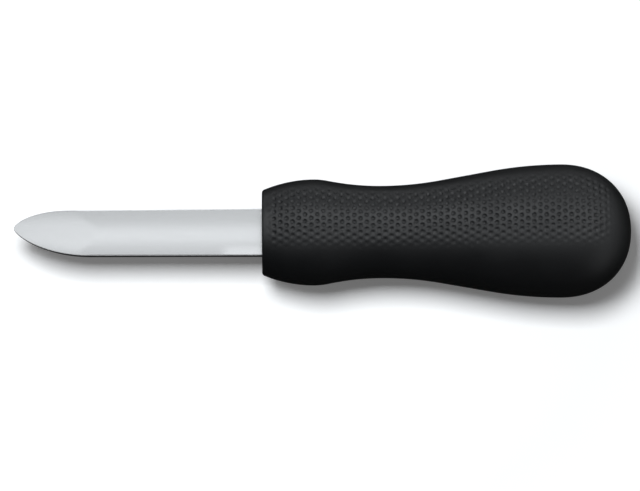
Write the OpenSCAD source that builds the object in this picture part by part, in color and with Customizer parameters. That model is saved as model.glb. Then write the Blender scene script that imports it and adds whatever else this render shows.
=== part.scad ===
// Oyster knife: a short stiff blade with a rounded tip, and a bulbous oval handle moulded round its tang.
// The blade lies flat and points along -X. The handle's axis is level, and its bulb rests at Z = 0.

/* [Blade] */
// Length of the blade from its point to the front of the handle
blade_l = 70; // [60:0.5:110]
// Width of the blade at the handle
blade_w = 13.4; // [11:0.1:17]
// How much narrower the blade is where its tip starts
blade_taper = 0.4; // [0:0.1:0.8]
// Thickness of the steel, which the flat strip and the heel keep
blade_t = 3.2; // [2.6:0.1:4]
// Width of the flat strip between the ground long edges
flat_w = 7; // [4:0.1:9]
// Thickness left at the ground long edges
edge_t = 1.9; // [1.2:0.1:2.3]
// Length of the heel in front of the handle, which isn't ground
heel_l = 6; // [2:0.5:12]
// Length over which the grinding runs out into the heel
runout_l = 7; // [3:0.5:12]

/* [Tip] */
// Height of the point over the middle of the blade's width
tip_rise = 1.5; // [-3:0.1:3]
// Length of the tip's curve on its short side
tip_run_short = 15; // [8:0.5:20]
// Length of the tip's curve on its long side
tip_run_long = 22; // [12:0.5:26]
// Power of the curve on the short side, where less is fuller
tip_power_short = 0.6; // [0.5:0.01:1]
// Power of the curve on the long side, where less is fuller
tip_power_long = 0.71; // [0.5:0.01:1]
// Length of the tip that is ground thinner
tip_grind_l = 23; // [15:0.5:35]
// Thickness left at the point
tip_t = 1; // [0.6:0.1:1.6]

/* [Tang] */
// Length of the tang inside the handle
tang_l = 78; // [66:1:88]
// Step in from each long edge of the blade to the tang
shoulder_w = 1; // [0.5:0.1:2]
// Step in from each face of the blade to the tang
shoulder_t = 0.2; // [0.1:0.05:0.5]
// Width of the tang at its far end
tang_end_w = 8; // [7:0.1:11]
// Diameter of the holes that lock the tang into the core
tang_hole_d = 5; // [3:0.1:6]
// Number of those holes
tang_holes = 3; // [1:1:3]
// Distance from the front of the handle to the first hole
tang_hole_start = 16; // [10:1:18]
// Distance between holes
tang_hole_pitch = 22; // [10:1:22]

/* [Handle] */
// Length of the handle
handle_l = 104; // [98:0.2:120]
// Width of the handle's front face, out to where its rim starts from
front_w = 24; // [21:0.2:27]
// Distance from the front to the widest place of the guard
guard_x = 14.6; // [10:0.2:18]
// Width of the guard
guard_w = 30.1; // [28:0.1:34]
// Distance from the front to the waist
waist_x = 33.6; // [28:0.1:44]
// Width of the waist
waist_w = 26.2; // [22:0.1:27]
// Distance from the front to the widest place of the bulb
bulb_x = 84.2; // [72:0.1:90]
// Width of the bulb
bulb_w = 37.8; // [32:0.1:44]
// Thickness of the bulb, and so of the oval handle in proportion
bulb_t = 30; // [26:0.1:38]
// Radius of the rim round the front face
rim_r = 0.8; // [0.3:0.1:1.5]
// Squareness of the butt, where 2 is an ellipse
butt_power = 2.15; // [2:0.05:3]
// Depth of the small flats that the guard and the bulb lie on
rest_cut = 0.12; // [0.03:0.01:0.15]

/* [Core] */
// Thickness of the soft cover at the handle's sides and ends
cover_t = 2.2; // [1:0.1:3]
// Width of the core's nose, which closes the handle round the blade
nose_w = 18; // [14:0.1:19]
// Thickness of the core's nose
nose_t = 9; // [6:0.1:11]

/* [Hidden] */
$fn = 96;
// Small overlap that joins solids which would only touch
lap = 0.01;

// Places along X, with the middle of the whole knife at zero, and the height of the handle's axis
tip_x = -(blade_l + handle_l) / 2;
front_x = tip_x + blade_l;
axis_z = bulb_t / 2;

// Sizes of the tang that follow the blade
tang_w = blade_w - 2 * shoulder_w;
tang_t = blade_t - 2 * shoulder_t;

// The bevel beside the flat strip is part of a circle that leaves the strip without a corner
bevel_w = (blade_w - flat_w) / 2;
bevel_drop = (blade_t - edge_t) / 2;
bevel_r = (bevel_w * bevel_w + bevel_drop * bevel_drop) / (2 * bevel_drop);

// Rise of each face of the tip over its length
tip_slope = (blade_t - tip_t) / 2 / tip_grind_l;
// Step down from the flat strip to the heel beside it, and of the heel's foot below the ground edges
heel_drop = 0.05;
foot_drop = 0.05;
// How far the shapes that cut the blade and the handle reach past them
reach = 1;

// Shares of the runs from guard to waist and from waist to bulb that bend at each end
guard_bends = [0.2, 0.74];
bulb_bends = [0.33, 0.39];
// Spacing of the points along the handle's flanks, and steps of the rim, the butt and the tip's curves
flank_pitch = 2.4;
rim_steps = 6;
butt_steps = 16;
tip_steps = 24;
rest_steps = 40;

// Height from 0 to 1 over a run from 0 to 1, which bends over its end shares and is straight between
function ease(u, bends) =
    let (slope = 2 / (2 - bends[0] - bends[1]))
    u < bends[0] ? slope * u * u / (2 * bends[0])
    : u <= 1 - bends[1] ? slope * (u - bends[0] / 2)
    : 1 - slope * (1 - u) * (1 - u) / (2 * bends[1]);

// Width of the handle at a distance from its front, ahead of the bulb's widest place
function flank_w(s) =
    s < guard_x ? guard_w - (guard_w - front_w) * pow(1 - s / guard_x, 2)
    : s < waist_x ? guard_w + (waist_w - guard_w) * ease((s - guard_x) / (waist_x - guard_x), guard_bends)
    : waist_w + (bulb_w - waist_w) * ease((s - waist_x) / (bulb_x - waist_x), bulb_bends);

// Half thickness of the handle at a distance from its front, ahead of the bulb's thickest place
function flank_t(s) = flank_w(s) / 2 * bulb_t / bulb_w;

// Places along the handle ahead of its waist and behind it, where it can touch a table
guard_places = [for (i = [0:rest_steps]) waist_x * i / rest_steps];
bulb_places = [for (i = [0:rest_steps]) waist_x + (bulb_x - waist_x) * i / rest_steps];

// Height over the axis, at the handle's front, of a line that slopes along it and touches it at these places
function rest_line(slope, places) = max([for (s = places) flank_t(s) - slope * s]);

// Slope of the line that touches both the guard and the bulb, from the line through their widest places
widest_slope = (flank_t(bulb_x) - flank_t(guard_x)) / (bulb_x - guard_x);
rest_slope = widest_slope
    + (rest_line(widest_slope, bulb_places) - rest_line(widest_slope, guard_places)) / (bulb_x - guard_x);
rest_z = rest_line(rest_slope, guard_places) - rest_cut;

// Half outline of the handle from its front to its butt, drawn in all round by a wall
function handle_outline(wall) =
    let (
        shoulder = wall + rim_r,
        steps = ceil((bulb_x - shoulder) / flank_pitch),
        rise = bulb_w / 2 - wall,
        run = handle_l - bulb_x - wall
    )
    concat(
        [[0, wall]],
        [for (i = [0:rim_steps - 1])
            let (a = 90 * i / rim_steps, s = shoulder - rim_r * cos(a))
            [flank_w(s) / 2 - wall - rim_r * (1 - sin(a)), s]],
        [for (i = [0:steps - 1])
            let (s = shoulder + (bulb_x - shoulder) * i / steps)
            [flank_w(s) / 2 - wall, s]],
        [for (i = [0:butt_steps])
            let (a = 90 * i / butt_steps)
            [rise * pow(cos(a), 2 / butt_power), bulb_x + run * pow(sin(a), 2 / butt_power)]]
    );

// Oval body of the handle in four quarter turns, drawn in all round by a wall
module handle_body(wall) {
    translate([front_x, 0, axis_z])
        scale([1, 1, bulb_t / bulb_w])
            rotate([0, 90, 0])
                for (turn = [0:90:270])
                    rotate([0, 0, turn]) rotate_extrude(angle = 90) polygon(handle_outline(wall));
}

// Bar across the part, as high over its middle as below it, with one height at each end
module wedge(from_x, from_z, to_x, to_z)
    translate([0, bulb_w, 0]) rotate([90, 0, 0]) linear_extrude(2 * bulb_w)
        polygon([[from_x, -from_z], [from_x, from_z], [to_x, to_z], [to_x, -to_z]]);

// The outside of the grip, with a small flat under and over the guard and the bulb that it lies still on
module grip_body()
    intersection() {
        handle_body(0);
        translate([front_x, 0, axis_z])
            wedge(-reach, rest_z - rest_slope * reach, handle_l + reach, rest_z + rest_slope * (handle_l + reach));
    }

// The nose is an oval with straight faces, which goes through the cover's front wall
module nose() {
    nose_l = cover_t + rim_r;
    centre_y = (nose_w - nose_t) / 2;
    translate([front_x, 0, axis_z]) {
        translate([0, -centre_y, -nose_t / 2]) cube([nose_l, 2 * centre_y, nose_t]);
        for (y = [-centre_y, centre_y])
            translate([0, y, 0]) rotate([0, 90, 0]) cylinder(d = nose_t, h = nose_l);
    }
}

module core_body() {
    handle_body(cover_t);
    nose();
}

// One side of the blade's tip, from the point to where the curve meets the long edge
function tip_curve(run, rise, power) =
    [for (i = [0:tip_steps])
        let (u = cos(90 * i / tip_steps))
        [tip_x + run * (1 - u), tip_rise + rise * pow(1 - u * u, power)]];

module blade_outline() {
    tip_w = blade_w - blade_taper;
    short_side = tip_curve(tip_run_short, tip_w / 2 - tip_rise, tip_power_short);
    long_side = tip_curve(tip_run_long, -tip_w / 2 - tip_rise, tip_power_long);
    polygon(concat(
        [for (i = [tip_steps:-1:1]) short_side[i]],
        long_side,
        [[front_x, -blade_w / 2], [front_x, blade_w / 2]]
    ));
}

// Cross-section of the ground blade: a flat strip with a rounded bevel on each side of it
module ground_section() {
    square([flat_w, blade_t], center = true);
    for (side = [-1, 1])
        intersection() {
            translate([side * flat_w / 2, blade_t / 2 - bevel_r]) circle(bevel_r);
            translate([side * flat_w / 2, bevel_r - blade_t / 2]) circle(bevel_r);
            translate([side * (flat_w + bevel_w) / 2, 0]) square([bevel_w + lap, blade_t], center = true);
        }
}

module ground_bar(from_x, to_x)
    translate([from_x, 0, 0]) rotate([90, 0, 90]) linear_extrude(to_x - from_x) ground_section();

// Wedge whose two faces meet the flat strips where the tip's grinding starts
module tip_wedge()
    wedge(
        tip_x - reach, tip_t / 2 - tip_slope * reach,
        front_x + reach, tip_t / 2 + tip_slope * (blade_l + reach)
    );

// The heel stays nearly as thick as the flat strip out to the long edges, and slopes down to the bevels
module heel() {
    slope_x = front_x - heel_l;
    ground_x = slope_x - runout_l;
    top = blade_t / 2 - heel_drop;
    foot = edge_t / 2 - foot_drop;
    translate([0, blade_w, 0]) rotate([90, 0, 0]) linear_extrude(2 * blade_w)
        polygon([
            [front_x + reach, -top], [front_x + reach, top], [slope_x, top],
            [ground_x, foot], [ground_x, -foot], [slope_x, -top]
        ]);
}

module tang()
    difference() {
        translate([front_x, 0, -tang_t / 2]) linear_extrude(tang_t)
            polygon([[-lap, -tang_w / 2], [tang_l, -tang_end_w / 2], [tang_l, tang_end_w / 2], [-lap, tang_w / 2]]);
        for (i = [0:tang_holes - 1])
            translate([front_x + tang_hole_start + i * tang_hole_pitch, 0, -tang_t])
                cylinder(d = tang_hole_d, h = 2 * tang_t);
    }

module blade()
    color("gainsboro") translate([0, 0, axis_z]) {
        intersection() {
            translate([0, 0, -blade_t]) linear_extrude(2 * blade_t) blade_outline();
            union() {
                ground_bar(tip_x - reach, front_x + reach);
                heel();
            }
            tip_wedge();
        }
        tang();
    }

module handle_core()
    color("dimgray") difference() {
        core_body();
        translate([0, 0, axis_z]) tang();
    }

module grip_cover()
    color([0.12, 0.12, 0.13]) difference() {
        grip_body();
        core_body();
    }

blade();
handle_core();
grip_cover();
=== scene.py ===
"""Dresses the oyster knife: its satin blade, its dimpled grip and the soft light round them."""

import logging
import math
from dataclasses import dataclass, field
from enum import Enum

import bmesh
import bpy
from bmesh.types import BMEdge, BMesh, BMFace, BMVert
from mathutils import Matrix, Vector


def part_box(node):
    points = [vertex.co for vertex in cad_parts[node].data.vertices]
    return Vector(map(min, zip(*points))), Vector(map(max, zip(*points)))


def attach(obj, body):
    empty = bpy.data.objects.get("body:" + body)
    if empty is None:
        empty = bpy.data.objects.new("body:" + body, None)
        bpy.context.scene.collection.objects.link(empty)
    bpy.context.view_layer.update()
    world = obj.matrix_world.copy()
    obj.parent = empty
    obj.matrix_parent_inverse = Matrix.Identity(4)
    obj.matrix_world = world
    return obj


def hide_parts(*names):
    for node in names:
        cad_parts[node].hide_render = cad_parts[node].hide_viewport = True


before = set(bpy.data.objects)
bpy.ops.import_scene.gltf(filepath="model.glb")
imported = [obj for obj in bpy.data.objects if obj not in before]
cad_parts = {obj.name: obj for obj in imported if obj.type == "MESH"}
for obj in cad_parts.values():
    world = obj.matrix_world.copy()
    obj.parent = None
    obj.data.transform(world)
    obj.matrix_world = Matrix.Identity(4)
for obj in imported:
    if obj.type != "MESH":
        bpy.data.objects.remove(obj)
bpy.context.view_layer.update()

MM = 0.001
BODY = "root"
log = logging.getLogger("oyster_knife")


class Cell(Enum):
    """The two kinds of cell that the grip's honeycomb is made of."""

    DIMPLED = "dimpled"
    PLAIN = "plain"


@dataclass(frozen=True)
class Finish:
    """A finish that one of the knife's pieces has, made from a Principled shader."""

    name: str
    color: tuple[float, float, float]
    roughness: float
    metallic: float = 0.0
    specular: float = 0.5

    def shader(self) -> tuple[bpy.types.Material, bpy.types.Node]:
        """Makes an empty node material of this finish.

        Returns:
            The material and its Principled shader node.
        """
        material = bpy.data.materials.new(self.name)
        material.use_nodes = True
        principled = material.node_tree.nodes["Principled BSDF"]
        principled.inputs["Base Color"].default_value = (*self.color, 1.0)
        principled.inputs["Roughness"].default_value = self.roughness
        principled.inputs["Metallic"].default_value = self.metallic
        principled.inputs["Specular IOR Level"].default_value = self.specular
        return material, principled


class Weave:
    """Small helper that adds and joins the nodes of one material."""

    def __init__(self, material: bpy.types.Material) -> None:
        """Keeps the node tree of a material.

        Args:
            material: The material whose nodes are added to.
        """
        self.tree = material.node_tree

    def add(self, kind: str, **values: object) -> bpy.types.Node:
        """Adds a node and sets its properties and inputs.

        Args:
            kind: The node's type.
            **values: Properties by name, or inputs by their name with spaces as underscores.

        Returns:
            The new node.
        """
        node = self.tree.nodes.new(kind)
        for key, value in values.items():
            label = key.replace("_", " ")
            if hasattr(node, key):
                setattr(node, key, value)
            else:
                node.inputs[label].default_value = value
        return node

    def join(self, source: bpy.types.NodeSocket, target: bpy.types.NodeSocket) -> None:
        """Links two sockets."""
        self.tree.links.new(source, target)

    def noise(
        self, size: tuple[float, float, float], detail: float = 3.0, roughness: float = 0.55
    ) -> bpy.types.Node:
        """Adds a noise texture on Object coordinates.

        Args:
            size: How many cells of noise there are to a metre, along each axis.
            detail: How many finer layers the noise has.
            roughness: How strong each finer layer is against the one before it.

        Returns:
            The noise node.
        """
        place = self.add("ShaderNodeTexCoord")
        stretch = self.add("ShaderNodeMapping", Scale=size)
        noise = self.add("ShaderNodeTexNoise", Scale=1.0, Detail=detail, Roughness=roughness)
        self.join(place.outputs["Object"], stretch.inputs["Vector"])
        self.join(stretch.outputs["Vector"], noise.inputs["Vector"])
        return noise

    def spread(
        self,
        source: bpy.types.NodeSocket,
        low: float,
        high: float,
        over: tuple[float, float] = (0.3, 0.7),
    ) -> bpy.types.NodeSocket:
        """Maps a value, such as a noise's, to another range.

        Args:
            source: The value.
            low: What is given where the value is at the start of its range or under it.
            high: What is given where the value is at the end of its range or over it.
            over: The value's range.

        Returns:
            The socket with the mapped value.
        """
        spread = self.add("ShaderNodeMapRange")
        spread.inputs["From Min"].default_value = over[0]
        spread.inputs["From Max"].default_value = over[1]
        spread.inputs["To Min"].default_value = low
        spread.inputs["To Max"].default_value = high
        self.join(source, spread.inputs["Value"])
        return spread.outputs["Result"]

    def bump(self, heights: bpy.types.NodeSocket, depth: float) -> bpy.types.NodeSocket:
        """Adds a bump of a depth in metres.

        Args:
            heights: The socket that holds the relief.
            depth: The relief's depth, in metres.

        Returns:
            The bumped normal.
        """
        bump = self.add("ShaderNodeBump", Strength=1.0, Distance=depth)
        self.join(heights, bump.inputs["Height"])
        return bump.outputs["Normal"]


@dataclass(frozen=True)
class SatinSteel(Finish):
    """Steel with fine grinding marks along the blade."""

    marks_per_metre: tuple[float, float, float] = (140.0, 9000.0, 9000.0)
    mark_share: float = 0.02

    def material(self) -> bpy.types.Material:
        """Makes the steel's material, whose roughness changes a little from mark to mark.

        Returns:
            The material.
        """
        material, principled = self.shader()
        weave = Weave(material)
        marks = weave.noise(self.marks_per_metre)
        low, high = self.roughness - self.mark_share, self.roughness + self.mark_share
        weave.join(weave.spread(marks.outputs["Fac"], low, high), principled.inputs["Roughness"])
        return material


@dataclass(frozen=True)
class SoftRubber(Finish):
    """Black moulded rubber with a fine spark-eroded grain."""

    grain_per_metre: float = 4200.0
    grain_depth: float = 0.018 * MM
    clouds_per_metre: float = 70.0
    cloud_share: float = 0.05

    def material(self) -> bpy.types.Material:
        """Makes the rubber's material.

        Returns:
            The material.
        """
        material, principled = self.shader()
        weave = Weave(material)
        grain = weave.noise((self.grain_per_metre,) * 3)
        clouds = weave.noise((self.clouds_per_metre,) * 3)
        low, high = self.roughness - self.cloud_share, self.roughness + self.cloud_share
        weave.join(weave.spread(clouds.outputs["Fac"], low, high), principled.inputs["Roughness"])
        weave.join(weave.bump(grain.outputs["Fac"], self.grain_depth), principled.inputs["Normal"])
        return material


def geometry(bm: BMesh) -> list[BMVert | BMEdge | BMFace]:
    """All the points, edges and faces of a mesh."""
    return bm.verts[:] + bm.edges[:] + bm.faces[:]


def add_lower_half(bm: BMesh, middle_z: float, weld: float) -> None:
    """Adds the mirror image of a piece's upper half under it, and joins the two.

    Args:
        bm: The upper half.
        middle_z: Height of the plane between the halves.
        weld: Distance within which points are joined.
    """
    copy = bmesh.ops.duplicate(bm, geom=geometry(bm))["geom"]
    for vert in (v for v in copy if isinstance(v, BMVert)):
        vert.co.z = 2.0 * middle_z - vert.co.z
    bmesh.ops.reverse_faces(bm, faces=[f for f in copy if isinstance(f, BMFace)])
    bmesh.ops.remove_doubles(bm, verts=bm.verts[:], dist=weld)


def make_piece(
    bm: BMesh, name: str, crisp_angle: float, material: bpy.types.Material
) -> bpy.types.Object:
    """Turns a finished mesh into a smooth piece.

    Args:
        bm: The mesh, which is freed.
        name: The piece's name.
        crisp_angle: The angle from which an edge stays sharp, in degrees.
        material: The piece's material.

    Returns:
        The object, with its place in its mesh.
    """
    bmesh.ops.recalc_face_normals(bm, faces=bm.faces[:])
    mesh = bpy.data.meshes.new(name)
    bm.to_mesh(mesh)
    bm.free()
    mesh.shade_smooth()
    mesh.set_sharp_from_angle(angle=math.radians(crisp_angle))
    mesh.materials.append(material)
    piece = bpy.data.objects.new(name, mesh)
    bpy.context.scene.collection.objects.link(piece)
    return piece


@dataclass
class Handle:
    """The handle's oval form: its widths along its length, and its surface.

    Lengths are in metres, and places along it are measured from its front face.
    """

    front_x: float
    axis_z: float
    length: float
    bulb_width: float
    bulb_thickness: float
    front_width: float = 24.0 * MM
    guard_at: float = 14.6 * MM
    guard_width: float = 30.1 * MM
    waist_at: float = 33.6 * MM
    waist_width: float = 26.2 * MM
    bulb_at: float = 84.2 * MM
    butt_power: float = 2.15
    guard_bends: tuple[float, float] = (0.2, 0.74)
    bulb_bends: tuple[float, float] = (0.33, 0.39)
    probe: float = 0.05 * MM

    @classmethod
    def from_frame(cls, node: str) -> "Handle":
        """Takes the handle's place and outer sizes from a CAD node.

        Args:
            node: The node whose outer surface is the handle's.

        Returns:
            The handle's form.
        """
        low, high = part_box(node)
        return cls(
            front_x=low[0],
            axis_z=(low[2] + high[2]) / 2,
            length=high[0] - low[0],
            bulb_width=high[1] - low[1],
            bulb_thickness=high[2] - low[2],
        )

    @property
    def flatness(self) -> float:
        """Thickness of the oval section over its width."""
        return self.bulb_thickness / self.bulb_width

    @staticmethod
    def ease(share: float, bends: tuple[float, float]) -> float:
        """Rises from 0 to 1 along a run that bends at both ends and is straight between them.

        Args:
            share: How far along the run, from 0 to 1.
            bends: The shares of the run that bend at its start and at its end.

        Returns:
            The height, from 0 to 1.
        """
        slope = 2.0 / (2.0 - bends[0] - bends[1])
        if share < bends[0]:
            return slope * share * share / (2.0 * bends[0])
        if share <= 1.0 - bends[1]:
            return slope * (share - bends[0] / 2.0)
        return 1.0 - slope * (1.0 - share) ** 2 / (2.0 * bends[1])

    def half_width(self, along: float) -> float:
        """Half the handle's width.

        Args:
            along: Distance from the front face.

        Returns:
            The half width there.
        """
        if along < self.guard_at:
            spread = self.guard_width - self.front_width
            return (self.guard_width - spread * (1.0 - along / self.guard_at) ** 2) / 2.0
        if along < self.waist_at:
            share = (along - self.guard_at) / (self.waist_at - self.guard_at)
            spread = self.waist_width - self.guard_width
            return (self.guard_width + spread * self.ease(share, self.guard_bends)) / 2.0
        if along < self.bulb_at:
            share = (along - self.waist_at) / (self.bulb_at - self.waist_at)
            spread = self.bulb_width - self.waist_width
            return (self.waist_width + spread * self.ease(share, self.bulb_bends)) / 2.0
        share = min(1.0, (along - self.bulb_at) / (self.length - self.bulb_at))
        return self.bulb_width / 2.0 * (1.0 - share**self.butt_power) ** (1.0 / self.butt_power)

    def surface(self, along: float, angle: float) -> Vector:
        """A point of the upper side's surface.

        Args:
            along: Distance from the front face.
            angle: Angle round the section, from 0 on top to a quarter turn at the sides.

        Returns:
            The point, in the row frame.
        """
        half = self.half_width(along)
        return Vector(
            (
                self.front_x + along,
                half * math.sin(angle),
                self.axis_z + half * self.flatness * math.cos(angle),
            )
        )

    def normal(self, along: float, angle: float) -> Vector:
        """The surface's outward direction at a point of the upper side.

        Args:
            along: Distance from the front face.
            angle: Angle round the section, as for surface.

        Returns:
            The direction, one long.
        """
        before = self.surface(max(0.0, along - self.probe), angle)
        after = self.surface(min(self.length, along + self.probe), angle)
        lengthways = after - before
        crossways = Vector((0.0, math.cos(angle), -self.flatness * math.sin(angle)))
        out = lengthways.cross(crossways)
        return out.normalized() if out.length > 0.0 else Vector((1.0, 0.0, 0.0))


@dataclass
class DimpledGrip:
    """The soft cover, a closed shell with a honeycomb of round dimples on both broad sides.

    A flat sheet of dimpled cells is laid over each side. It keeps its spacing as seen square to
    the blade, as a mould that opens that way leaves it, and turns down over the sides and the butt.
    """

    handle: Handle
    finish: SoftRubber
    pitch: float = 2.0 * MM
    dimple_radii: tuple[float, float, float] = (0.70 * MM, 0.60 * MM, 0.15 * MM)
    dimple_depths: tuple[float, float, float] = (0.0, 0.10 * MM, 0.34 * MM)
    crisp_angle: float = 40.0
    rim_radius: float = 0.6 * MM
    turn_share: float = 0.80
    butt_turn_at: float = 96.5 * MM
    bare_front: float = 1.2 * MM
    fade_front: float = 2.5 * MM
    bare_edge_share: float = 0.82
    fade_edge_share: float = 0.16
    bare_side: float = 7.5 * MM
    fade_side: float = 9.5 * MM
    bare_butt: float = 99.0 * MM
    fade_butt: float = 5.0 * MM
    nose_width: float = 18.0 * MM
    nose_thickness: float = 9.0 * MM
    wall: float = 2.2 * MM
    inner_rim: float = 0.8 * MM
    inner_gap: float = 0.03 * MM
    inner_pitch: float = 2.4 * MM
    inner_steps: int = 16
    name: str = "grip_skin"
    cell_sides: int = 6
    least_relief: float = 0.01
    cell_weld: float = 0.01 * MM
    half_weld: float = 0.02 * MM
    pole_gap: float = 0.02 * MM
    rim_steps: int = 6
    butt_steps: int = 64
    _butt_lengths: list[float] = field(default_factory=list)

    @property
    def turn_angle(self) -> float:
        """The angle round the section at which the sheet turns down over the side."""
        return math.asin(self.turn_share)

    def butt_angle(self, along: float) -> float:
        """The angle of the butt's curve at a distance from the front."""
        share = (along - self.handle.bulb_at) / (self.handle.length - self.handle.bulb_at)
        return math.asin(min(1.0, share ** (self.handle.butt_power / 2.0)))

    def butt_along(self, angle: float) -> float:
        """The distance from the front at an angle of the butt's curve."""
        run = self.handle.length - self.handle.bulb_at
        return self.handle.bulb_at + run * math.sin(angle) ** (2.0 / self.handle.butt_power)

    def measure_butt(self) -> None:
        """Measures the way along the butt's curve from where the sheet turns down to the pole."""
        start = self.butt_angle(self.butt_turn_at)
        self._butt_lengths = [0.0]
        last = (self.butt_turn_at, self.handle.half_width(self.butt_turn_at))
        for step in range(1, self.butt_steps + 1):
            along = self.butt_along(start + (math.pi / 2 - start) * step / self.butt_steps)
            here = (along, self.handle.half_width(along))
            self._butt_lengths.append(self._butt_lengths[-1] + math.dist(last, here))
            last = here

    @property
    def sheet_length(self) -> float:
        """Length of the flat sheet, from the front to the pole of the butt."""
        return self.butt_turn_at + self._butt_lengths[-1]

    def along_of(self, sheet_x: float) -> float:
        """The distance from the front face of a place along the sheet.

        Args:
            sheet_x: Distance from the sheet's front end.

        Returns:
            The distance, which is shorter than sheet_x round the butt.
        """
        if sheet_x <= self.butt_turn_at:
            return sheet_x
        way = sheet_x - self.butt_turn_at
        lengths = self._butt_lengths
        step = next((i for i in range(1, len(lengths)) if lengths[i] >= way), len(lengths) - 1)
        share = (way - lengths[step - 1]) / (lengths[step] - lengths[step - 1])
        start = self.butt_angle(self.butt_turn_at)
        angle = start + (math.pi / 2 - start) * (step - 1 + min(1.0, share)) / self.butt_steps
        return self.butt_along(angle)

    def side_radius(self, half: float) -> float:
        """Mean radius of the stretch of the section over which the sheet turns down."""
        middle = (self.turn_angle + math.pi / 2) / 2
        return half * math.hypot(math.cos(middle), self.handle.flatness * math.sin(middle))

    def sheet_half_width(self, half: float) -> float:
        """Half width of the sheet where the handle is half wide."""
        return half * self.turn_share + self.side_radius(half) * (math.pi / 2 - self.turn_angle)

    def angle_of(self, sheet_y: float, half: float) -> float:
        """The angle round the section of a place across the sheet.

        Args:
            sheet_y: Distance from the sheet's middle.
            half: Half width of the handle there.

        Returns:
            The angle, with the sign of sheet_y.
        """
        flat = half * self.turn_share
        if abs(sheet_y) <= flat:
            return math.asin(sheet_y / half)
        turned = self.turn_angle + (abs(sheet_y) - flat) / self.side_radius(half)
        return math.copysign(min(math.pi / 2, turned), sheet_y)

    @staticmethod
    def fade(value: float, gone_at: float, full_at: float) -> float:
        """Smooth share from 0 where value is at gone_at to 1 where it is at full_at."""
        share = min(1.0, max(0.0, (value - gone_at) / (full_at - gone_at)))
        return share * share * (3.0 - 2.0 * share)

    def relief(self, along: float, angle: float) -> float:
        """Share of a dimple's full depth at a place on the handle.

        Args:
            along: Distance from the front face.
            angle: Angle round the section, below 0 on the viewer's side.

        Returns:
            The share, from 0 to 1.
        """
        front = self.fade(along, self.bare_front, self.bare_front + self.fade_front)
        butt = self.fade(along, self.bare_butt, self.bare_butt - self.fade_butt)
        across = math.sin(angle)
        edge = self.fade(across, self.bare_edge_share, self.bare_edge_share - self.fade_edge_share)
        place = across * self.handle.half_width(along)
        side = self.fade(place, -self.bare_side, self.fade_side - self.bare_side)
        return front * butt * edge * side

    def cell(self, kind: Cell) -> bpy.types.Mesh:
        """Makes one six-sided cell of the sheet, with its middle at the origin.

        Args:
            kind: Whether the cell has a round dimple, whose depth is along -Z.

        Returns:
            The cell's mesh.
        """
        bm = bmesh.new()
        self.ring(bm, self.cell_sides, self.pitch / math.sqrt(3.0))
        bmesh.ops.subdivide_edges(bm, edges=bm.edges[:], cuts=1)
        outline = bm.edges[:]
        if kind is Cell.PLAIN:
            face = bmesh.ops.contextual_create(bm, geom=outline)["faces"]
            bmesh.ops.poke(bm, faces=face)
        else:
            self.sink_dimple(bm, outline)
        bmesh.ops.recalc_face_normals(bm, faces=bm.faces[:])
        if bm.faces[0].normal.z < 0.0:
            bmesh.ops.reverse_faces(bm, faces=bm.faces[:])
        mesh = bpy.data.meshes.new(f"cell_{kind.value}")
        bm.to_mesh(mesh)
        bm.free()
        return mesh

    @staticmethod
    def ring(bm: BMesh, segments: int, radius: float) -> list[BMEdge]:
        """Adds a ring of edges with a corner on +X.

        Args:
            bm: The mesh.
            segments: How many edges the ring has.
            radius: The radius of its corners.

        Returns:
            The ring's edges.
        """
        verts = bmesh.ops.create_circle(bm, segments=segments, radius=radius)["verts"]
        turn = math.atan2(verts[0].co.y, verts[0].co.x)
        bmesh.ops.rotate(bm, verts=verts, cent=(0, 0, 0), matrix=Matrix.Rotation(-turn, 3, "Z"))
        return list({edge for vert in verts for edge in vert.link_edges})

    def sink_dimple(self, bm: BMesh, outline: list[BMEdge]) -> None:
        """Fills a cell's outline with a land and a round dimple.

        Args:
            bm: The cell's mesh.
            outline: The edges of the cell's outline.
        """
        ring = self.ring(bm, 2 * self.cell_sides, self.dimple_radii[0])
        bmesh.ops.bridge_loops(bm, edges=outline + ring)
        for step in range(1, len(self.dimple_radii)):
            verts, ring = self.grow(bm, ring)
            scale = self.dimple_radii[step] / self.dimple_radii[step - 1]
            drop = self.dimple_depths[step - 1] - self.dimple_depths[step]
            bmesh.ops.scale(bm, verts=verts, vec=(scale, scale, 1.0))
            bmesh.ops.translate(bm, verts=verts, vec=(0.0, 0.0, drop))
        bmesh.ops.contextual_create(bm, geom=ring)

    def sheet(self) -> BMesh:
        """Lays the cells out as a flat honeycomb that covers one side of the handle.

        Returns:
            The sheet, which reaches a little past what the side takes.
        """
        bm = bmesh.new()
        cells = {kind: self.cell(kind) for kind in Cell}
        widest = self.sheet_half_width(self.handle.bulb_width / 2.0)
        column_step = self.pitch * math.sqrt(3.0) / 2.0
        rows = math.ceil(widest / self.pitch) + 1
        for column in range(math.ceil(self.sheet_length / column_step) + 1):
            along = self.along_of(min(column * column_step, self.sheet_length))
            half = self.handle.half_width(along)
            stagger = self.pitch / 2.0 if column % 2 else 0.0
            for row in range(-rows, rows + 1):
                across = row * self.pitch + stagger
                angle = self.angle_of(across, half) if half > self.pitch else math.pi / 2
                dimpled = self.relief(along, angle) > self.least_relief
                kind = Cell.DIMPLED if dimpled else Cell.PLAIN
                first = len(bm.verts)
                bm.from_mesh(cells[kind])
                bm.verts.ensure_lookup_table()
                place = (column * column_step, across, 0.0)
                bmesh.ops.translate(bm, verts=bm.verts[first:], vec=place)
        bmesh.ops.remove_doubles(bm, verts=bm.verts[:], dist=self.cell_weld)
        return bm

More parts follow.
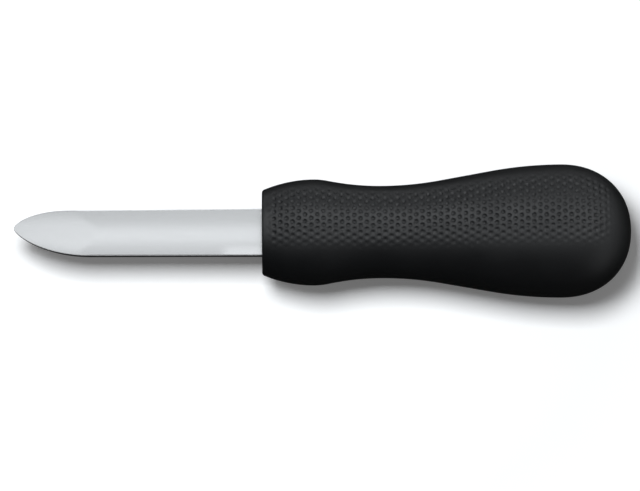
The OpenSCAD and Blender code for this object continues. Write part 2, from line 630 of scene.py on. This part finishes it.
    def trim(self, bm: BMesh) -> None:
        """Cuts the flat sheet to the part of it that the handle's side takes.

        Args:
            bm: The flat sheet, whose places across come out as shares of its half width.
        """
        self.cut(bm, Vector((self.rim_radius, 0.0, 0.0)), Vector((-1.0, 0.0, 0.0)))
        pole = self.sheet_length - self.pole_gap
        self.cut(bm, Vector((pole, 0.0, 0.0)), Vector((1.0, 0.0, 0.0)))
        for vert in bm.verts:
            half = self.handle.half_width(self.along_of(vert.co.x))
            vert.co.y /= self.sheet_half_width(half)
        for side in (Vector((0.0, -1.0, 0.0)), Vector((0.0, 1.0, 0.0))):
            self.cut(bm, side, side)

    @staticmethod
    def cut(bm: BMesh, place: Vector, normal: Vector) -> None:
        """Cuts a mesh along a plane and drops what lies beyond it.

        Args:
            bm: The mesh.
            place: A point of the plane.
            normal: The plane's direction, which is towards what is dropped.
        """
        bmesh.ops.bisect_plane(
            bm, geom=geometry(bm), dist=0.0, plane_co=place, plane_no=normal, clear_outer=True
        )

    def lay(self, bm: BMesh) -> None:
        """Moves the trimmed sheet's points onto the handle's upper side.

        Args:
            bm: The trimmed sheet.
        """
        for vert in bm.verts:
            along = self.along_of(vert.co.x)
            half = self.handle.half_width(along)
            angle = self.angle_of(vert.co.y * self.sheet_half_width(half), half)
            depth = vert.co.z * self.relief(along, angle)
            vert.co = self.handle.surface(along, angle) + self.handle.normal(along, angle) * depth

    def close_front(self, bm: BMesh) -> None:
        """Rounds the rim, closes the front face down to the core's nose and adds the inner wall.

        Args:
            bm: The grip's mesh, which is open at the front.
        """
        ring = [edge for edge in bm.edges if edge.is_boundary]
        flank = self.handle.half_width(self.rim_radius)
        for step in range(1, self.rim_steps + 1):
            turn = math.pi / 2 * step / self.rim_steps
            drop = self.rim_radius * (1.0 - math.cos(turn))
            along = self.rim_radius * (1.0 - math.sin(turn))
            scale = (self.handle.half_width(along) - drop) / flank
            ring = self.next_ring(bm, ring, scale, self.handle.front_x + along)
            flank *= scale
        verts, ring = self.grow(bm, ring)
        for vert in verts:
            vert.co = self.on_nose(vert.co)
        self.line_inside(bm, ring)

    @staticmethod
    def grow(bm: BMesh, ring: list[BMEdge]) -> tuple[list[BMVert], list[BMEdge]]:
        """Extrudes a ring of edges in place.

        Args:
            bm: The mesh.
            ring: The edges of the ring.

        Returns:
            The new ring's points and its edges.
        """
        made = bmesh.ops.extrude_edge_only(bm, edges=ring)["geom"]
        verts = [v for v in made if isinstance(v, BMVert)]
        return verts, [e for e in made if isinstance(e, BMEdge) and e.is_boundary]

    def inner_rings(self) -> list[tuple[float, float]]:
        """The rings of the cover's inside, from its front wall to its pole near the butt.

        Returns:
            The distance from the front face and the half width of each ring.
        """
        handle, wall, rim = self.handle, self.wall - self.inner_gap, self.inner_rim
        rings = []
        for step in range(self.inner_steps + 1):
            turn = math.pi / 2 * step / self.inner_steps
            along = wall + rim * (1.0 - math.cos(turn))
            rings.append((along, handle.half_width(along) - wall - rim * (1.0 - math.sin(turn))))
        start, stop = wall + rim, handle.bulb_at
        count = math.ceil((stop - start) / self.inner_pitch)
        for step in range(1, count):
            along = start + (stop - start) * step / count
            rings.append((along, handle.half_width(along) - wall))
        run, rise = handle.length - stop - wall, handle.bulb_width / 2.0 - wall
        power = 2.0 / handle.butt_power
        for step in range(self.inner_steps):
            turn = math.pi / 2 * step / self.inner_steps
            rings.append((stop + run * math.sin(turn) ** power, rise * math.cos(turn) ** power))
        return rings

    def line_inside(self, bm: BMesh, ring: list[BMEdge]) -> None:
        """Goes on from the mouth with the cover's inner wall, which lies round the core.

        Args:
            bm: The grip's mesh.
            ring: The edges of the mouth, on the nose's outline.
        """
        handle = self.handle
        verts, ring = self.grow(bm, ring)
        bmesh.ops.translate(bm, verts=verts, vec=(self.wall - self.inner_gap, 0.0, 0.0))
        for along, half in self.inner_rings():
            verts, ring = self.grow(bm, ring)
            for vert in verts:
                turn = math.atan2((vert.co.z - handle.axis_z) / handle.flatness, vert.co.y)
                y, z = half * math.cos(turn), half * handle.flatness * math.sin(turn)
                vert.co = Vector((handle.front_x + along, y, handle.axis_z + z))
        verts, _ = self.grow(bm, ring)
        end = handle.front_x + handle.length - self.wall + self.inner_gap
        bmesh.ops.pointmerge(bm, verts=verts, merge_co=Vector((end, 0.0, handle.axis_z)))

    def next_ring(self, bm: BMesh, ring: list[BMEdge], scale: float, x: float) -> list[BMEdge]:
        """Extrudes a ring of the front inwards.

        Args:
            bm: The grip's mesh.
            ring: The edges of the ring that is extruded.
            scale: Size of the new ring over the old one.
            x: Place of the new ring along X.

        Returns:
            The new ring's edges.
        """
        verts, ring = self.grow(bm, ring)
        for vert in verts:
            vert.co.x = x
            vert.co.y *= scale
            vert.co.z = self.handle.axis_z + (vert.co.z - self.handle.axis_z) * scale
        return ring

    def on_nose(self, point: Vector) -> Vector:
        """Moves a point of the front face in to the outline of the nose.

        Args:
            point: The point.

        Returns:
            The point of the outline.
        """
        radius = self.nose_thickness / 2.0
        reach = (self.nose_width - self.nose_thickness) / 2.0
        y = max(-reach, min(reach, point.y * reach / radius))
        out = Vector((0.0, point.y - y, point.z - self.handle.axis_z)).normalized() * radius
        return Vector((self.handle.front_x, y + out.y, self.handle.axis_z + out.z))

    def build(self) -> bpy.types.Object:
        """Builds the grip's mesh and its object.

        Returns:
            The object, with its place in its mesh.
        """
        self.measure_butt()
        bm = self.sheet()
        self.trim(bm)
        self.lay(bm)
        add_lower_half(bm, self.handle.axis_z, self.half_weld)
        self.close_butt(bm)
        self.close_front(bm)
        return make_piece(bm, self.name, self.crisp_angle, self.finish.material())

    def close_butt(self, bm: BMesh) -> None:
        """Draws the small hole at the butt's pole together.

        Args:
            bm: The grip's mesh, with both halves.
        """
        end = self.handle.front_x + self.handle.length
        near = [v for v in bm.verts if v.is_boundary and v.co.x > end - self.rim_radius]
        if near:
            pole = Vector((end, 0.0, self.handle.axis_z))
            bmesh.ops.pointmerge(bm, verts=near, merge_co=pole)


@dataclass
class Blade:
    """The blade: one crowned steel bar with ground bevels, a thick heel, a rounded tip and a tang.

    Lengths are in metres, and heights are measured from the blade's middle plane.
    """

    finish: SatinSteel
    tip_x: float
    front_x: float
    axis_z: float
    width: float
    thickness: float
    tang_end_x: float
    taper: float = 0.4 * MM
    strip_width: float = 7.0 * MM
    crown: float = 0.10 * MM
    bevel_drop: float = 0.22 * MM
    easing_width: float = 0.15 * MM
    easing_drop: float = 0.10 * MM
    edge_radius: float = 0.10 * MM
    heel_length: float = 6.0 * MM
    runout: float = 7.0 * MM
    tip_rise: float = 1.5 * MM
    tip_runs: tuple[float, float] = (15.0 * MM, 22.0 * MM)
    tip_powers: tuple[float, float] = (0.6, 0.71)
    tip_grind: float = 23.0 * MM
    tip_thickness: float = 1.0 * MM
    tip_straight: float = 0.6
    tip_dome: float = 0.18 * MM
    tip_dome_power: float = 3.0
    soft_join: float = 0.03 * MM
    tang_thickness: float = 2.8 * MM
    tang_shoulder: float = 1.0 * MM
    tang_end_width: float = 8.0 * MM
    tang_hole: float = 5.0 * MM
    tang_hole_start: float = 16.0 * MM
    tang_hole_pitch: float = 22.0 * MM
    tang_holes: int = 3
    tang_hole_steps: int = 48
    tang_lap: float = 0.5 * MM
    tip_steps: int = 44
    bar_steps: int = 84
    rows: int = 80
    face_share: float = 0.8
    side_share: float = 0.95
    round_share: float = 0.8
    probe: float = 0.02 * MM
    half_weld: float = 0.003 * MM
    speck: float = 0.001 * MM
    crisp_angle: float = 35.0
    name: str = "blade_steel"

    @classmethod
    def from_frame(cls, node: str, cover: str, finish: SatinSteel) -> "Blade":
        """Takes the blade's place and outer sizes from the CAD nodes.

        Args:
            node: The blade's node.
            cover: The node whose front face the blade comes out of.
            finish: The blade's finish.

        Returns:
            The blade.
        """
        low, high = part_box(node)
        return cls(
            finish=finish,
            tip_x=low[0],
            front_x=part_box(cover)[0][0],
            axis_z=(low[2] + high[2]) / 2,
            width=high[1] - low[1],
            thickness=high[2] - low[2],
            tang_end_x=high[0],
        )

    def half_width(self, x: float) -> float:
        """Half the blade's width, which grows a little from the tip's long curve to the handle.

        Args:
            x: Place along the blade.

        Returns:
            The half width there.
        """
        start = self.tip_x + self.tip_runs[1]
        share = max(0.0, (x - start) / (self.front_x - start))
        return (self.width - self.taper * (1.0 - share)) / 2

    def edge(self, x: float, side: int) -> float:
        """Place of the outline across the blade.

        Args:
            x: Place along the blade.
            side: 1 for the short side of the tip, which is at +Y, and -1 for the long one.

        Returns:
            The outline's Y.
        """
        which = 0 if side > 0 else 1
        back = max(0.0, 1.0 - (x - self.tip_x) / self.tip_runs[which])
        reach = side * self.half_width(x) - self.tip_rise
        return self.tip_rise + reach * max(0.0, 1.0 - back * back) ** self.tip_powers[which]

    def face(self, x: float, y: float) -> float:
        """Height of the blade's face: a crowned strip, with a bevel and an eased edge on each side.

        The bevel at -Y runs out into the heel, and the one at +Y goes on to the handle.

        Args:
            x: Place along the blade.
            y: Place across it.

        Returns:
            The height.
        """
        half_strip = self.strip_width / 2
        bevel = self.half_width(x) - self.easing_width - half_strip
        lean = 2.0 * self.crown / half_strip
        height = self.thickness / 2 - self.crown * min(1.0, abs(y) / half_strip) ** 2
        drop = self.bevel_drop * (1.0 if y > 0.0 else 1.0 - self.heel_share(x))
        out = min(bevel, max(0.0, abs(y) - half_strip))
        bend = (max(drop, lean * bevel / 2) - lean * bevel) / bevel**2
        height -= lean * out + bend * out * out
        lean += 2.0 * bend * bevel
        out = max(0.0, abs(y) - half_strip - bevel)
        bend = (self.easing_drop - lean * self.easing_width) / self.easing_width**2
        height -= lean * out + bend * out * out
        return self.softer(height, self.tip_face(x, y))

    def heel_share(self, x: float) -> float:
        """How far the bevel at -Y has run out.

        Args:
            x: Place along the blade.

        Returns:
            A share that rises from 0 on the ground blade to 1 on the heel.
        """
        ground_x = self.front_x - self.heel_length - self.runout
        share = min(1.0, max(0.0, (x - ground_x) / self.runout))
        return share * share * (3.0 - 2.0 * share)

    def tip_face(self, x: float, y: float) -> float:
        """Height of the face that is ground down towards the point and domed across.

        Args:
            x: Place along the blade.
            y: Place across it.

        Returns:
            The height, which is over the blade's face behind the tip.
        """
        back = 1.0 - (x - self.tip_x) / self.tip_grind
        fall = (self.thickness - self.tip_thickness) / 2
        if back < 0.0:
            return self.thickness / 2 - fall * self.tip_straight * back
        low, high = self.edge(x, -1), self.edge(x, 1)
        across = min(1.0, abs(2.0 * y - low - high) / max(high - low, self.edge_radius))
        dome = self.tip_dome * across**self.tip_dome_power * ((high - low) / self.width) ** 2
        curve = self.tip_straight * back + (1.0 - self.tip_straight) * back**2
        return self.thickness / 2 - fall * curve - dome

    def softer(self, first: float, second: float) -> float:
        """The lower of two heights, with a slight blend where they cross."""
        near = max(0.0, self.soft_join - abs(first - second)) / self.soft_join
        return min(first, second) - near * near * self.soft_join / 4

    def place(self, x: float, share: float) -> Vector:
        """A point of the blade's upper half.

        Args:
            x: Place along the blade.
            share: From -1 to 1 round the section, from the middle of one side over the face to
                the middle of the other.

        Returns:
            The point, in the row frame.
        """
        side = 1 if share >= 0.0 else -1
        low, high = self.edge(x, -1), self.edge(x, 1)
        middle, half = (low + high) / 2, (high - low) / 2
        radius = min(self.edge_radius, self.round_share * half)
        rim = middle + side * (half - radius)
        slope = 0.0
        if half > self.probe:
            slope = (self.face(x, rim) - self.face(x, rim - side * self.probe)) / self.probe
        start = math.atan(-slope)
        turn_at = half - radius * (1.0 - math.sin(start))
        if abs(share) <= self.face_share:
            y = middle + turn_at * share / self.face_share
            return Vector((x, y, self.axis_z + self.face(x, y)))
        centre_z = self.face(x, middle + side * turn_at) - radius * math.cos(start)
        part = min(1.0, (abs(share) - self.face_share) / (self.side_share - self.face_share))
        angle = start + (math.pi / 2 - start) * part
        y = middle + side * (half - radius + radius * math.sin(angle))
        z = centre_z + radius * math.cos(angle)
        down = max(0.0, (abs(share) - self.side_share) / (1.0 - self.side_share))
        return Vector((x, y, self.axis_z + z * (1.0 - down)))

    def station(self, share: float) -> float:
        """Place along the blade of a step. The steps are closer together near the point.

        Args:
            share: The step's number as a share of them all.

        Returns:
            The place along the blade.
        """
        steps = self.tip_steps + self.bar_steps
        index = share * steps
        run = self.tip_runs[1]
        if index <= self.tip_steps:
            return self.tip_x + run * (1.0 - math.cos(math.pi / 2 * index / self.tip_steps))
        start = self.tip_x + run
        return start + (self.front_x - start) * (index - self.tip_steps) / self.bar_steps

    def bar(self, bm: BMesh) -> None:
        """Adds the blade in front of the handle.

        Args:
            bm: The blade's mesh, which is still empty.
        """
        steps = self.tip_steps + self.bar_steps
        bmesh.ops.create_grid(bm, x_segments=steps, y_segments=self.rows, size=0.5)
        for vert in bm.verts:
            vert.co = self.place(self.station(vert.co.x + 0.5), 2.0 * vert.co.y)
        add_lower_half(bm, self.axis_z, self.half_weld)
        bmesh.ops.dissolve_degenerate(bm, dist=self.speck, edges=bm.edges[:])
        bmesh.ops.holes_fill(bm, edges=[edge for edge in bm.edges if edge.is_boundary], sides=0)

    def tang(self, bm: BMesh) -> None:
        """Adds the tang, a tapered plate with a row of round holes, which starts inside the blade.

        Args:
            bm: The blade's mesh.
        """
        plate = bmesh.new()
        start = self.front_x - self.tang_lap
        end = self.tang_end_x
        wide, narrow = self.width / 2 - self.tang_shoulder, self.tang_end_width / 2
        corners = [(start, -wide), (end, -narrow), (end, narrow), (start, wide)]
        rim = [plate.verts.new((x, y, 0.0)) for x, y in corners]
        for index, vert in enumerate(rim):
            plate.edges.new((vert, rim[index - 1]))
        for index in range(self.tang_holes):
            place = self.front_x + self.tang_hole_start + index * self.tang_hole_pitch
            hole = bmesh.ops.create_circle(
                plate, segments=self.tang_hole_steps, radius=self.tang_hole / 2
            )
            bmesh.ops.translate(plate, verts=hole["verts"], vec=(place, 0.0, 0.0))
        bmesh.ops.triangle_fill(plate, edges=plate.edges[:], use_beauty=True)
        raised = bmesh.ops.extrude_face_region(plate, geom=plate.faces[:])["geom"]
        top = [v for v in raised if isinstance(v, BMVert)]
        bmesh.ops.translate(plate, verts=top, vec=(0.0, 0.0, self.tang_thickness))
        low = self.axis_z - self.tang_thickness / 2
        bmesh.ops.translate(plate, verts=plate.verts[:], vec=(0.0, 0.0, low))
        mesh = bpy.data.meshes.new("tang")
        plate.to_mesh(mesh)
        plate.free()
        bm.from_mesh(mesh)
        bpy.data.meshes.remove(mesh)

    def build(self) -> bpy.types.Object:
        """Builds the blade's mesh and its object.

        Returns:
            The object, with its place in its mesh.
        """
        bm = bmesh.new()
        self.bar(bm)
        self.tang(bm)
        return make_piece(bm, self.name, self.crisp_angle, self.finish.material())


class Use(Enum):
    """What a panel is for: to light surfaces, or to show in the gloss of some pieces."""

    LIGHT = "light"
    STEEL_GLOSS = "steel_gloss"
    BLACK_GLOSS = "black_gloss"


@dataclass(frozen=True)
class Panel:
    """A soft and slightly cool light panel that faces the knife.

    Attributes:
        name: The panel's name.
        tilt_y: Angle from straight overhead towards +Y, in degrees.
        tilt_x: Angle from straight overhead towards +X, in degrees.
        size: Its sides, in metres.
        level: For a light, how bright a white surface that faces it gets. For gloss, how bright
            the panel looks.
        use: Whether it lights surfaces or only shows in gloss, and in which pieces' gloss.
        distance: How far it is from the knife, in metres.
        color: The colour of its light.
    """

    name: str
    tilt_y: float
    tilt_x: float
    size: tuple[float, float]
    level: float
    use: Use
    distance: float = 1.1
    color: tuple[float, float, float] = (0.972, 1.0, 1.023)

    def build(self, receivers: bpy.types.Collection | None) -> None:
        """Adds the panel's lamp.

        Args:
            receivers: The pieces that the panel works on, or None for all of them.
        """
        data = bpy.data.lights.new(self.name, "AREA")
        data.shape = "RECTANGLE"
        data.size, data.size_y = self.size
        area = self.size[0] * self.size[1]
        reached = math.pi * self.distance**2 if self.use is Use.LIGHT else area
        data.energy = self.level * math.pi * reached
        data.color = self.color
        lamp = bpy.data.objects.new(self.name, data)
        across, along = math.tan(math.radians(self.tilt_y)), math.tan(math.radians(self.tilt_x))
        toward = Vector((along, across, 1.0)).normalized()
        lamp.location = toward * self.distance
        side = (Vector((1.0, 0.0, 0.0)) - toward * toward.x).normalized()
        lamp.rotation_euler = Matrix((side, toward.cross(side), toward)).transposed().to_euler()
        lamp.visible_camera = False
        lamp.visible_glossy = self.use is not Use.LIGHT
        lamp.visible_diffuse = self.use is Use.LIGHT
        lamp.light_linking.receiver_collection = receivers
        bpy.context.scene.collection.objects.link(lamp)


@dataclass
class Studio:
    """The white table, the light over it, the panels that show in the gloss and the camera."""

    table_size: float = 3.0
    frame_width: float = 180.3 * MM
    camera_distance: float = 1.6
    elevation: float = 79.7
    roll: float = 0.345
    aim: tuple[float, float, float] = (-0.7 * MM, -3.75 * MM, 15.0 * MM)
    sensor: float = 36.0
    panels: tuple[Panel, ...] = (
        Panel("overhead_panel", 8.0, -11.0, (0.24, 0.24), 1.04, Use.LIGHT, 0.6),
        Panel("grip_top_panel", 0.0, 0.0, (2.6, 0.29), 1.5, Use.BLACK_GLOSS),
        Panel("grip_back_panel", 30.0, 0.0, (2.6, 0.29), 2.35, Use.BLACK_GLOSS),
        Panel("grip_far_panel", 86.0, 0.0, (2.6, 0.35), 0.95, Use.BLACK_GLOSS),
        Panel("grip_butt_panel", 0.0, 70.0, (0.8, 2.6), 0.36, Use.BLACK_GLOSS),
        Panel("steel_top_panel", 7.0, 15.0, (1.55, 0.8), 0.71, Use.STEEL_GLOSS),
        Panel("steel_strip_panel", 8.5, 15.0, (1.55, 0.19), 0.47, Use.STEEL_GLOSS),
        Panel("steel_back_panel", 46.0, 0.0, (2.0, 0.66), 1.2, Use.STEEL_GLOSS),
        Panel("steel_front_panel", -42.0, 0.0, (2.0, 0.66), 0.75, Use.STEEL_GLOSS),
        Panel("steel_far_panel", 76.0, 0.0, (2.6, 0.6), 0.8, Use.STEEL_GLOSS),
        Panel("steel_near_panel", -74.0, 0.0, (2.6, 0.5), 0.4, Use.STEEL_GLOSS),
        Panel("steel_tip_panel", 0.0, -66.0, (0.9, 2.6), 0.8, Use.STEEL_GLOSS),
        Panel("steel_butt_panel", 0.0, 72.0, (0.7, 2.6), 0.8, Use.STEEL_GLOSS),
    )
    backdrop: float = 1.0
    world_light: float = 0.12
    world_gloss: float = 0.015
    table_glow: float = 0.1
    far_glow: float = 1.0
    far_from: float = 0.085
    far_to: float = 0.5
    table_color: float = 0.95
    table_roughness: float = 0.9
    clip_end: float = 10.0

    def table(self) -> None:
        """Adds the table, which keeps the knife's shadow but doesn't show in gloss.

        Its glow is painted light: faint under the knife, where it lightens the shadow, and
        stronger away from the knife, where the overhead light is weaker, so that it looks white
        there.
        """
        bm = bmesh.new()
        bmesh.ops.create_grid(bm, x_segments=1, y_segments=1, size=self.table_size / 2)
        mesh = bpy.data.meshes.new("table_top")
        bm.to_mesh(mesh)
        bm.free()
        table = bpy.data.objects.new("table_top", mesh)
        bpy.context.scene.collection.objects.link(table)
        material = bpy.data.materials.new("white_table")
        material.use_nodes = True
        principled = material.node_tree.nodes["Principled BSDF"]
        principled.inputs["Roughness"].default_value = self.table_roughness
        principled.inputs["Specular IOR Level"].default_value = 0.0
        principled.inputs["Base Color"].default_value = (*(self.table_color,) * 3, 1.0)
        principled.inputs["Emission Color"].default_value = (1.0, 1.0, 1.0, 1.0)
        weave = Weave(material)
        place = weave.add("ShaderNodeTexCoord")
        reach = weave.add("ShaderNodeVectorMath", operation="LENGTH")
        weave.join(place.outputs["Object"], reach.inputs["Vector"])
        # painted light: the table's own glow, faint near the knife where it lightens the shadow,
        # strong far out
        glow = weave.spread(
            reach.outputs["Value"], self.table_glow, self.far_glow, (self.far_from, self.far_to)
        )
        weave.join(glow, principled.inputs["Emission Strength"])
        mesh.materials.append(material)
        table.visible_glossy = False

    def world(self) -> None:
        """Sets a white backdrop, which gives a dim even light and hardly shows in gloss."""
        world = bpy.data.worlds.new("studio")
        world.use_nodes = True
        bpy.context.scene.world = world
        nodes, links = world.node_tree.nodes, world.node_tree.links
        rays = nodes.new("ShaderNodeLightPath")
        strength = None
        levels = {"Is Camera Ray": self.backdrop, "Is Glossy Ray": self.world_gloss}
        for ray, level in levels.items():
            step = nodes.new("ShaderNodeMath")
            step.operation = "MULTIPLY_ADD"
            links.new(rays.outputs[ray], step.inputs[0])
            step.inputs[1].default_value = level - self.world_light
            step.inputs[2].default_value = self.world_light
            if strength is not None:
                links.new(strength, step.inputs[2])
            strength = step.outputs[0]
        background = nodes["Background"]
        background.inputs["Color"].default_value = (1.0, 1.0, 1.0, 1.0)
        links.new(strength, background.inputs["Strength"])

    def camera(self) -> None:
        """Adds the camera at the photograph's angle."""
        data = bpy.data.cameras.new("camera")
        data.sensor_width = self.sensor
        data.lens = self.sensor * self.camera_distance / self.frame_width
        data.clip_end = self.clip_end
        camera = bpy.data.objects.new("camera", data)
        lift = math.radians(self.elevation)
        away = Vector((0.0, -math.cos(lift), math.sin(lift)))
        camera.location = Vector(self.aim) + away * self.camera_distance
        look = (-away).to_track_quat("-Z", "Y").to_matrix().to_4x4()
        roll = Matrix.Rotation(math.radians(-self.roll), 4, "Z")
        camera.rotation_euler = (look @ roll).to_euler()
        bpy.context.scene.collection.objects.link(camera)
        bpy.context.scene.camera = camera

    def build(self, pieces: dict[Use, list[bpy.types.Object]]) -> None:
        """Builds the whole studio.

        Args:
            pieces: For each use of panels that works on some pieces alone, those pieces.
        """
        bpy.context.scene.view_settings.view_transform = "Standard"
        self.camera()
        self.table()
        self.world()
        receivers = {}
        for use, members in pieces.items():
            receivers[use] = bpy.data.collections.new(use.value)
            for piece in members:
                receivers[use].objects.link(piece)
        for panel in self.panels:
            panel.build(receivers.get(panel.use))


def dress_node(node: str, material: bpy.types.Material) -> bpy.types.Object:
    """Gives a CAD node a finish.

    Args:
        node: The node's name.
        material: The finish's material.

    Returns:
        The node's object.
    """
    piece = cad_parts[node]
    piece.data.materials.clear()
    piece.data.materials.append(material)
    log.info("%s keeps its CAD shape", node)
    return piece


def show(piece: bpy.types.Object, node: str) -> bpy.types.Object:
    """Puts a piece in place of a CAD node and reports it.

    Args:
        piece: The piece.
        node: The node that it stands for.

    Returns:
        The piece.
    """
    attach(piece, BODY)
    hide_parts(node)
    log.info("%s has %d faces and stands for %s", piece.name, len(piece.data.polygons), node)
    return piece


def main() -> None:
    """Builds the knife's pieces and the studio."""
    logging.basicConfig(level=logging.INFO, format="%(message)s")
    steel = SatinSteel("satin_steel", color=(0.725, 0.73, 0.735), roughness=0.22, metallic=1.0)
    plastic = SoftRubber("core_plastic", color=(0.012, 0.012, 0.013), roughness=0.45, specular=0.3)
    rubber = SoftRubber("grip_rubber", color=(0.0014, 0.0018, 0.0023), roughness=0.5, specular=1.0)
    core = dress_node("handle_core", plastic.material())
    blade = show(Blade.from_frame("blade", "grip_cover", steel).build(), "blade")
    cover = DimpledGrip(Handle.from_frame("grip_cover"), rubber)
    grip = show(cover.build(), "grip_cover")
    Studio().build({Use.STEEL_GLOSS: [blade], Use.BLACK_GLOSS: [core, grip]})


if __name__ == "__main__":
    main()
